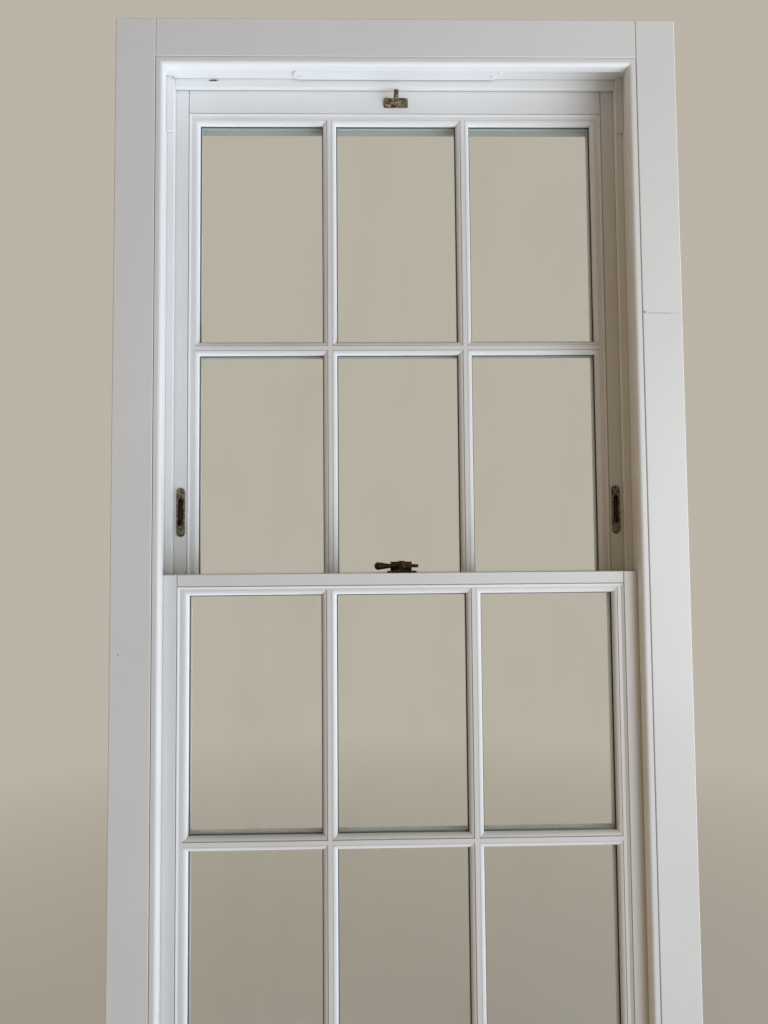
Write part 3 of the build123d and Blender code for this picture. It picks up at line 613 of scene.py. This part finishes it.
def vent_screws(material):
    """Small round-headed screws at the ends of the vent cover, each with a sunk drive."""
    low_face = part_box("vent_cover")[0][2]
    for side, x in zip(("left", "right"), SCREW_PLACES):
        shape = bmesh.new()
        bmesh.ops.create_circle(shape, cap_ends=True, segments=SCREW_SIDES, radius=SCREW_RADIUS)
        end = pushed(shape, shape.faces[:], SCREW_DROP)
        rim = list(end[0].edges)
        bmesh.ops.bevel(shape, geom=rim, offset=SCREW_RIM, offset_type="OFFSET",
                        segments=SCREW_RIM_STEPS, profile=0.5, affect="EDGES", material=-1)
        lowest = min(corner.co.z for corner in shape.verts)
        end = [face for face in shape.faces if face.calc_center_median().z < lowest + LEVEL_SLACK]
        bmesh.ops.inset_region(shape, faces=end, thickness=SCREW_RADIUS * DRIVE_SHARE)
        pushed(shape, end, -SCREW_RECESS)
        bmesh.ops.translate(shape, verts=shape.verts, vec=(x, SCREW_Y, low_face))
        screw = finish_mesh(shape, "vent_screw_" + side, material)
        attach(screw, "frame")


def paint_nodes(material, *names):
    """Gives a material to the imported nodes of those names."""
    for name in names:
        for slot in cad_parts[name].material_slots:
            slot.material = material


def both_sashes(*parts):
    """The names of the same parts on the lower sash and on the top sash."""
    return [sash + "_" + part for sash in ("lower_sash", "top_sash") for part in parts]


def finish_paintwork():
    """Paints every timber, with the grain along it, and the few marks that the window has."""
    upright = satin_paint("satin_white_upright", UPRIGHT_GRAIN)
    level = satin_paint("satin_white_level", LEVEL_GRAIN)
    head_marks = (
        ((-0.2986, -0.0190, 1.7341), (0.0085, 0.0040, 0.0019), -0.04, CHIP_BROWN, 0.95),
        ((-0.2193, -0.0408, 1.7370), (0.0013, 0.0026, 0.0020), 0.0, SCUFF_GREY, 0.60),
        ((-0.3630, -0.0226, 1.7340), (0.0022, 0.0028, 0.0040), 0.0, CHIP_BROWN, 0.70),
    )
    right_marks = (
        ((0.4035, -0.0850, 1.3236), (0.0280, 0.0030, 0.0008), 0.02, SCUFF_GREY, 0.65),
        ((0.3765, -0.0850, 1.3253), (0.0021, 0.0030, 0.0017), 0.0, CHIP_BROWN, 0.70),
    )
    left_marks = (
        ((-0.4216, -0.0850, 0.8117), (0.0015, 0.0030, 0.0012), 0.0, CHIP_BROWN, 0.75),
    )
    upright_bars = satin_paint("satin_white_bars", UPRIGHT_GRAIN, (), ("X", BAR_MIDDLE, BAR_AWAY))
    level_bars = satin_paint("satin_white_cross_bars", LEVEL_GRAIN, (),
                             ("Z", CROSS_BAR_MIDDLE, CROSS_BAR_AWAY))
    marked_head = satin_paint("satin_white_head", LEVEL_GRAIN, head_marks)
    marked_right = satin_paint("satin_white_right_lining", UPRIGHT_GRAIN, right_marks)
    marked_left = satin_paint("satin_white_left_lining", UPRIGHT_GRAIN, left_marks)
    paint_nodes(upright, "jamb_left", "jamb_right", "outer_lining_left", "outer_lining_right")
    paint_nodes(upright, "back_lining_left", "back_lining_right")
    paint_nodes(upright, "staff_bead_left", "staff_bead_right")
    paint_nodes(upright, "parting_bead_left", "parting_bead_right")
    paint_nodes(upright, *both_sashes("stile_left", "stile_right"))
    paint_nodes(upright_bars, *both_sashes("bar_left", "bar_right"))
    paint_nodes(level_bars, *both_sashes("cross_bars"))
    paint_nodes(level, "head_lining", "outer_head_lining", "staff_bead_head", "staff_bead_sill")
    paint_nodes(level, *both_sashes("low_rail", "high_rail"))
    paint_nodes(outdoor_bead_paint(), *both_sashes("glazing_beads"))
    paint_nodes(marked_head, "head_board", "parting_bead_head", "stop_block_left", "stop_block_right")
    paint_nodes(marked_right, "side_lining_right")
    paint_nodes(marked_left, "side_lining_left")
    paint_nodes(weathered_sill_paint(), "sill")


def finish_glazing():
    """Glass and spacers. Clear panes throw no shadow worth seeing."""
    paint_nodes(clear_glass(), *both_sashes("panes"))
    paint_nodes(spacer_bar(), *both_sashes("spacer_frames"))
    for name in both_sashes("panes"):
        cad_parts[name].visible_shadow = False


def finish_hardware():
    """Brass fittings, and the parts of the balances, brushes and vent."""
    speckled = antique_brass("antique_brass_plate", PLATE_BARE, PLATE_PATINA, 0.50, 330.0, 0.35)
    browned = antique_brass("antique_brass_hook", HOOK_BARE, HOOK_PATINA, 0.40, 190.0, 0.55)
    darkened = antique_brass("antique_brass_dark", DARK_BARE, DARK_PATINA, 0.80, 240.0, 0.45)
    paint_nodes(speckled, "sash_stop_plate_left", "sash_stop_plate_right", "top_sash_screws")
    paint_nodes(browned, "pole_hook")
    paint_nodes(darkened, "fastener_base", "fastener_cam", "fastener_pin", "fastener_screws")
    paint_nodes(darkened, "fastener_keep", "sash_stop_pins")
    paint_nodes(darkened, "sash_stop_tongue_left", "sash_stop_tongue_right")
    paint_nodes(tube_plastic(), "balance_tubes")
    paint_nodes(balance_steel(), *both_sashes("balance_rods"))
    paint_nodes(brush_pile(), "brush_strips")
    coated = coated_vent_metal()
    paint_nodes(coated, "vent_cover")
    vent_screws(coated)


set_camera()
light_the_world()
hang_lamp()
lay_floor()
finish_paintwork()
finish_glazing()
finish_hardware()

bpy.context.scene.view_settings.view_transform = "Standard"

bpy.context.view_layer.update()
